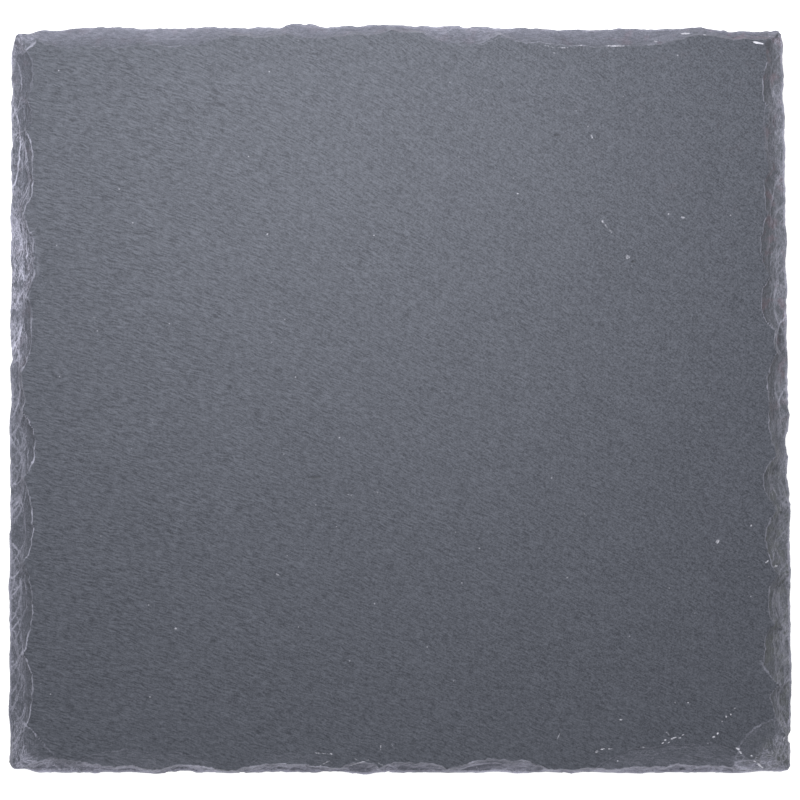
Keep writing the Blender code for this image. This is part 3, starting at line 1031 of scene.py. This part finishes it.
def crushed_colour(nodes, look, crumbs, tone):
    """Return the colour of the broken edge: dark at the rims, crushed and pale at the lip, with
    dust and painted light lifting the bevels that face away from the softbox.
    """
    x, y, z = nodes.split(nodes.object)
    flank = nodes.attribute("flank")
    crumble = nodes.attribute("crumble")
    lines = []
    for stretched in (nodes.vector(nodes.times(x, 0.22), y, z),
                      nodes.vector(x, nodes.times(y, 0.22), z)):
        fine = nodes.ridges(stretched, 1.3, 0.030)
        coarse = nodes.ridges(stretched, 3.2, 0.014)
        lines.append(nodes.math("MAXIMUM", fine, coarse))
    shards = nodes.mix(flank, lines[0], lines[1])

    lumps = nodes.noise(nodes.object, 2.4, detail=2, roughness=0.6)
    powder = nodes.centred(crumbs, 1.0)
    powder = nodes.add(powder, nodes.centred(lumps, 1.8))
    powder = nodes.add(powder, nodes.times(nodes.attribute("shade"), 0.40))
    # Crushed dust, with painted light on the bevels that face away from the softbox.
    powder = nodes.add(nodes.attribute("dust_and_light"), nodes.times(powder, nodes.times(crumble, 0.50)))
    powder = nodes.add(powder, nodes.scaled(tone, 0.24, -0.11))
    colour = nodes.mix(powder, look.bevel_dark, look.bevel_light)

    reds = nodes.noise(nodes.object, 5.0, detail=4)
    right = nodes.scaled(nodes.between(x, 0.05, 0.14), 0.75, 0.25)
    mauve = nodes.times(nodes.between(reds, 0.52, 0.66), right)
    mauve = nodes.times(mauve, nodes.between(y, -0.03, 0.02))
    colour = nodes.mix(nodes.times(mauve, 0.4), colour, look.mauve_colour)
    olive = nodes.times(nodes.between(reds, 0.46, 0.60), nodes.between(x, 0.12, 0.14))
    olive = nodes.times(olive, nodes.between(y, 0.0, -0.04))
    colour = nodes.mix(nodes.times(olive, 0.25), colour, look.olive_colour)
    shards = nodes.times(shards, nodes.times(crumble, 0.60))
    return nodes.mix(shards, colour, look.rim_and_highlight_colour)


def rubber_material(colour):
    """Make the matt black rubber of the feet, with a faint bloom and moulded pitting."""
    nodes = Nodes("foot rubber")
    bloom = nodes.noise(nodes.object, 3.0, detail=4, roughness=0.65)
    pitting = nodes.noise(nodes.object, 0.35, detail=2)
    dusty = tuple(0.035 + 1.2 * value for value in colour)
    shade = nodes.mix(nodes.between(bloom, 0.40, 0.75), colour, dusty)
    normal = nodes.bump(pitting, 0.05)
    return nodes.finish(Base_Color=shade, Roughness=nodes.scaled(bloom, 0.25, 0.62), Normal=normal)


def adhesive_material(colour):
    """Make the milky double-sided adhesive, with small trapped bubbles."""
    nodes = Nodes("foot adhesive")
    bubbles = nodes.between(nodes.cells(nodes.object, 1.1), 0.30, 0.12)
    haze = nodes.noise(nodes.object, 2.2, detail=3)
    clear = tuple(0.72 * value for value in colour)
    shade = nodes.mix(nodes.between(haze, 0.35, 0.70), clear, colour)
    shade = nodes.mix(nodes.times(bubbles, 0.4), shade, (0.80, 0.79, 0.75))
    normal = nodes.bump(bubbles, 0.05)
    nodes.shader.inputs["Subsurface Weight"].default_value = 0.15
    nodes.shader.inputs["Subsurface Scale"].default_value = 0.5 * MM
    return nodes.finish(Base_Color=shade, Roughness=nodes.scaled(haze, 0.2, 0.35), Normal=normal)


def floor_material(colour):
    """Make the plain pale floor."""
    nodes = Nodes("pale floor")
    nodes.shader.inputs["Specular IOR Level"].default_value = 0.2
    nodes.shader.inputs["Emission Color"].default_value = (1.0, 1.0, 1.0, 1.0)
    return nodes.finish(Base_Color=(*colour, 1.0), Roughness=0.85, Emission_Strength=0.45)


# ------------------------------------------------------------------------------------- the feet

def round_start(node, name, sides):
    """Add a cylinder that fills a round node's box at the first corner, open for editing."""
    low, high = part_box(f"{node}_{CORNERS[0]}")
    bpy.ops.object.select_all(action="DESELECT")
    bpy.ops.mesh.primitive_cylinder_add(
        vertices=sides, radius=(high[0] - low[0]) / 2, depth=high[2] - low[2],
        location=middle_of(low, high))
    item = added_object(f"{name}_{CORNERS[0]}")
    settle(item)
    bpy.ops.object.mode_set(mode="EDIT")
    return item, low, high


def set_out(first, node, name):
    """Copy the piece at the first corner to the other corners; return the pieces by node."""
    places = {corner: np.array(middle_of(*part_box(f"{node}_{corner}"))) for corner in CORNERS}
    pieces = {f"{node}_{CORNERS[0]}": first}
    for corner in CORNERS[1:]:
        only_select(first)
        bpy.ops.object.duplicate()
        bpy.ops.transform.translate(value=places[corner] - places[CORNERS[0]])
        piece = added_object(f"{name}_{corner}")
        settle(piece)
        pieces[f"{node}_{corner}"] = piece
    return pieces


def shaped_foot(settings):
    """Model one foot: tapered sides, a groove under the flange, and a dished underside."""
    foot, low, high = round_start("rubber_foot", "moulded_foot", 72)
    radius = (high[0] - low[0]) / 2

    select_faces(foot, lambda _centres, normals: normals[:, 2] < -0.9)
    bpy.ops.transform.resize(value=(FOOT_TAPER, FOOT_TAPER, 1))
    bpy.ops.mesh.inset(thickness=FOOT_RING * radius)
    bpy.ops.mesh.extrude_region_move(
        TRANSFORM_OT_translate={"value": (0, 0, settings.dish_depth)})
    bpy.ops.transform.resize(value=(DISH_TAPER, DISH_TAPER, 1))
    bpy.ops.mesh.inset(thickness=DISH_RING * radius)
    bpy.ops.transform.translate(value=(0, 0, DISH_RISE * settings.dish_depth))

    groove = high[2] - settings.flange_height
    for height in (groove, groove - GROOVE_WIDTH):
        bpy.ops.mesh.select_all(action="SELECT")
        bpy.ops.mesh.bisect(plane_co=(0, 0, height), plane_no=(0, 0, 1))
    select_faces(foot, lambda centres, normals: (np.abs(normals[:, 2]) < 0.5)
                 & (np.abs(centres[:, 2] - groove + GROOVE_WIDTH / 2) < 0.48 * GROOVE_WIDTH))
    bpy.ops.mesh.extrude_region_shrink_fatten(
        TRANSFORM_OT_shrink_fatten={"value": -GROOVE_DEPTH})
    bpy.ops.mesh.select_all(action="SELECT")
    bpy.ops.mesh.normals_make_consistent(inside=False)
    bpy.ops.object.mode_set(mode="OBJECT")

    soften(foot, settings.edge_round, 32)
    bpy.ops.object.mode_set(mode="EDIT")
    bpy.ops.mesh.select_all(action="SELECT")
    bpy.ops.mesh.remove_doubles(threshold=MERGE_GAP)
    bpy.ops.object.mode_set(mode="OBJECT")
    smooth(foot, 40)
    return foot


def shaped_adhesive():
    """Model one adhesive disc, with soft edges."""
    disc, _, _ = round_start("adhesive_disc", "glue_disc", 64)
    select_faces(disc, lambda _centres, normals: np.abs(normals[:, 2]) > 0.9)
    for width in DISC_RINGS:
        bpy.ops.mesh.inset(thickness=width)
    bpy.ops.object.mode_set(mode="OBJECT")
    soften(disc, DISC_ROUND, 40)
    return disc


def squeeze_out(disc, node):
    """Make the rim of one adhesive disc uneven, as if it were slightly squeezed out."""
    centre = np.array(middle_of(*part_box(node))[:2])
    rim = np.hypot(*(mesh_places(disc.data)[:, :2] - centre).T)
    add_group(disc, "rim", smooth_step(*DISC_RIM, rim))
    displace(disc, "squeezed rim", 2.5, 0.14, "rim", "NORMAL")
    disc.vertex_groups.clear()
    smooth(disc, 40)


# ------------------------------------------------------------------------------------- operators

class SlateLook(bpy.types.PropertyGroup):
    """The slate's colours and the strength of its grain."""

    face_dark: bpy.props.FloatVectorProperty(
        name="Face, dark", description="Dark grain of the cleft face", subtype="COLOR", size=3,
        min=0.0, max=1.0, default=(0.0166, 0.0191, 0.0271))
    face_light: bpy.props.FloatVectorProperty(
        name="Face, light", description="Pale grain of the cleft face", subtype="COLOR", size=3,
        min=0.0, max=1.0, default=(0.0605, 0.0659, 0.0830))
    bevel_dark: bpy.props.FloatVectorProperty(
        name="Bevel, dark", description="Dark parts of the broken edge", subtype="COLOR", size=3,
        min=0.0, max=1.0, default=(0.045, 0.049, 0.062))
    bevel_light: bpy.props.FloatVectorProperty(
        name="Bevel, light", description="Crushed parts of the broken edge", subtype="COLOR",
        size=3, min=0.0, max=1.0, default=(0.175, 0.175, 0.225))
    mauve_colour: bpy.props.FloatVectorProperty(
        name="Mauve", description="Mauve tint in the broken edge", subtype="COLOR", size=3,
        min=0.0, max=1.0, default=(0.105, 0.068, 0.088))
    olive_colour: bpy.props.FloatVectorProperty(
        name="Olive", description="Olive tint in the broken edge", subtype="COLOR", size=3,
        min=0.0, max=1.0, default=(0.072, 0.078, 0.066))
    # Pale rims: crushed stone, and painted highlight along the flakes' steps.
    rim_and_highlight_colour: bpy.props.FloatVectorProperty(
        name="Rims", description="Pale rims of the flakes", subtype="COLOR", size=3,
        min=0.0, max=1.0, default=(0.30, 0.30, 0.37))
    chip_colour: bpy.props.FloatVectorProperty(
        name="Chips", description="White chips and specks", subtype="COLOR", size=3,
        min=0.0, max=1.0, default=(0.40, 0.40, 0.45))
    stain_colour: bpy.props.FloatVectorProperty(
        name="Stains", description="Faint reddish stains in the face", subtype="COLOR", size=3,
        min=0.0, max=1.0, default=(0.055, 0.042, 0.050))
    streak_strength: bpy.props.FloatProperty(
        name="Streaks", description="Contrast of the slanting grain", default=1.40,
        min=0.0, max=2.0)
    grain_strength: bpy.props.FloatProperty(
        name="Grain", description="Contrast of the fine grain", default=1.5, min=0.0, max=2.0)


class FootSettings(bpy.types.PropertyGroup):
    """The sizes and colours of the feet and their adhesive."""

    rubber_colour: bpy.props.FloatVectorProperty(
        name="Rubber", description="Rubber of the feet", subtype="COLOR", size=3,
        min=0.0, max=1.0, default=(0.016, 0.016, 0.018))
    adhesive_colour: bpy.props.FloatVectorProperty(
        name="Adhesive", description="Milky adhesive discs", subtype="COLOR", size=3,
        min=0.0, max=1.0, default=(0.62, 0.60, 0.54))
    dish_depth: bpy.props.FloatProperty(
        name="Dish depth", description="Depth of the dished underside", default=0.35 * MM,
        min=0.0, unit="LENGTH")
    flange_height: bpy.props.FloatProperty(
        name="Flange height", description="Height of the flange against the adhesive",
        default=0.65 * MM, min=0.0, unit="LENGTH")
    edge_round: bpy.props.FloatProperty(
        name="Edge round", description="Rounding of the foot's edges", default=0.16 * MM,
        min=0.0, unit="LENGTH")


class StageSettings(bpy.types.PropertyGroup):
    """The floor, the light and the camera."""

    floor_colour: bpy.props.FloatVectorProperty(
        name="Floor", description="Plain pale floor", subtype="COLOR", size=3,
        min=0.0, max=1.0, default=(0.94, 0.94, 0.94))
    floor_size: bpy.props.FloatProperty(
        name="Floor size", description="Side of the square floor", default=9.0, min=1.0,
        unit="LENGTH")
    key_power: bpy.props.FloatProperty(
        name="Key light", description="Power of the softbox behind the plate, in watts",
        default=1.95, min=0.0)
    sky_strength: bpy.props.FloatProperty(
        name="Surround", description="Strength of the even light all round", default=1.1,
        min=0.0)
    lens: bpy.props.FloatProperty(
        name="Lens", description="Focal length in millimetres", default=200.0, min=20.0)
    view_width: bpy.props.FloatProperty(
        name="View width", description="Width in view at the plate's lip", default=0.3076,
        min=0.05, unit="LENGTH")


class SLATE_OT_plate(bpy.types.Operator):
    """Model the riven slate plate with its flaked edges"""

    bl_idname = "slate_plate.plate"
    bl_label = "Add Slate Plate"
    bl_options = {"REGISTER", "UNDO"}

    def execute(self, context):
        plate = shaped_plate(Outline())
        lay_out(plate)
        plate.data.materials.append(slate_material(context.scene.slate_look))
        smooth(plate, 38)
        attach(plate, "root")
        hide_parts("slate_plate")
        return {"FINISHED"}


class SLATE_OT_feet(bpy.types.Operator):
    """Model the four moulded rubber feet"""

    bl_idname = "slate_plate.feet"
    bl_label = "Add Rubber Feet"
    bl_options = {"REGISTER", "UNDO"}

    def execute(self, context):
        settings = context.scene.slate_feet
        first = shaped_foot(settings)
        first.data.materials.append(rubber_material(settings.rubber_colour))
        for node, foot in set_out(first, "rubber_foot", "moulded_foot").items():
            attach(foot, "root")
            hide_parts(node)
        return {"FINISHED"}


class SLATE_OT_adhesive(bpy.types.Operator):
    """Model the four adhesive discs between the feet and the plate"""

    bl_idname = "slate_plate.adhesive"
    bl_label = "Add Adhesive Discs"
    bl_options = {"REGISTER", "UNDO"}

    def execute(self, context):
        first = shaped_adhesive()
        first.data.materials.append(adhesive_material(context.scene.slate_feet.adhesive_colour))
        for node, disc in set_out(first, "adhesive_disc", "glue_disc").items():
            squeeze_out(disc, node)
            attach(disc, "root")
            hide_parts(node)
        return {"FINISHED"}


class SLATE_OT_stage(bpy.types.Operator):
    """Set up the pale floor, the studio light and the camera straight above"""

    bl_idname = "slate_plate.stage"
    bl_label = "Set Up Stage"
    bl_options = {"REGISTER", "UNDO"}

    def execute(self, context):
        settings = context.scene.slate_stage
        add_floor(settings)
        add_lights(context.scene, settings)
        add_camera(context.scene, settings)
        return {"FINISHED"}


def add_floor(settings):
    """Lay the pale floor just under the feet."""
    bpy.ops.object.select_all(action="DESELECT")
    bpy.ops.mesh.primitive_plane_add(size=settings.floor_size, location=(0, 0, -0.05 * MM))
    floor = added_object("floor")
    floor.data.materials.append(floor_material(settings.floor_colour))


def add_panel(name, size, power, place, aim):
    """Add one soft square light panel, aimed at a point."""
    bpy.ops.object.light_add(type="AREA", location=place)
    lamp = added_object(name)
    lamp.data.shape = "SQUARE"
    lamp.data.size = size
    lamp.data.energy = power
    lamp.visible_camera = False
    way = np.array(aim) - np.array(place)
    lamp.rotation_euler = (
        math.atan2(math.hypot(way[0], way[1]), -way[2]), 0.0, math.atan2(-way[0], way[1]))


def add_lights(scene, settings):
    """Light the stage from behind and above, with an even surround."""
    add_panel("key softbox", KEY_SIZE, settings.key_power, KEY_PLACE, KEY_AIM)
    world = bpy.data.worlds.new("even surround")
    world.use_nodes = True
    surround = world.node_tree.nodes["Background"]
    surround.inputs["Color"].default_value = (1.0, 1.0, 1.0, 1.0)
    surround.inputs["Strength"].default_value = settings.sky_strength
    scene.world = world
    scene.view_settings.view_transform = "Standard"


def add_camera(scene, settings):
    """Hang the camera over the middle of the plate, looking straight down."""
    lip = Outline().lip * MM
    distance = settings.view_width * settings.lens / SENSOR_WIDTH
    bpy.ops.object.camera_add(location=(0.0, CAMERA_OFFSET, lip + distance), rotation=(0, 0, 0))
    camera = added_object("camera")
    camera.data.lens = settings.lens
    camera.data.sensor_width = SENSOR_WIDTH
    camera.data.clip_end = 20.0
    scene.camera = camera


class SLATE_PT_panel(bpy.types.Panel):
    """The sidebar panel that lists the plate's operators"""

    bl_label = "Slate Plate"
    bl_idname = "SLATE_PT_panel"
    bl_space_type = "VIEW_3D"
    bl_region_type = "UI"
    bl_category = "Slate Plate"

    def draw(self, context):
        layout = self.layout
        for operator in (SLATE_OT_plate, SLATE_OT_feet, SLATE_OT_adhesive, SLATE_OT_stage):
            layout.operator(operator.bl_idname)
        for group in (context.scene.slate_look, context.scene.slate_feet,
                      context.scene.slate_stage):
            box = layout.box()
            for name in group.__annotations__:
                box.prop(group, name)


CLASSES = (
    SlateLook, FootSettings, StageSettings,
    SLATE_OT_plate, SLATE_OT_feet, SLATE_OT_adhesive, SLATE_OT_stage, SLATE_PT_panel,
)


def register():
    """Register the classes and hang the settings on the scene."""
    for item in CLASSES:
        bpy.utils.register_class(item)
    bpy.types.Scene.slate_look = bpy.props.PointerProperty(type=SlateLook)
    bpy.types.Scene.slate_feet = bpy.props.PointerProperty(type=FootSettings)
    bpy.types.Scene.slate_stage = bpy.props.PointerProperty(type=StageSettings)


def unregister():
    """Take the settings off the scene and unregister the classes."""
    del bpy.types.Scene.slate_look
    del bpy.types.Scene.slate_feet
    del bpy.types.Scene.slate_stage
    for item in reversed(CLASSES):
        bpy.utils.unregister_class(item)


def main():
    """Build the whole plate and its stage."""
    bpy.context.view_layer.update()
    register()
    bpy.ops.slate_plate.plate()
    bpy.ops.slate_plate.feet()
    bpy.ops.slate_plate.adhesive()
    bpy.ops.slate_plate.stage()


if __name__ == "__main__":
    main()
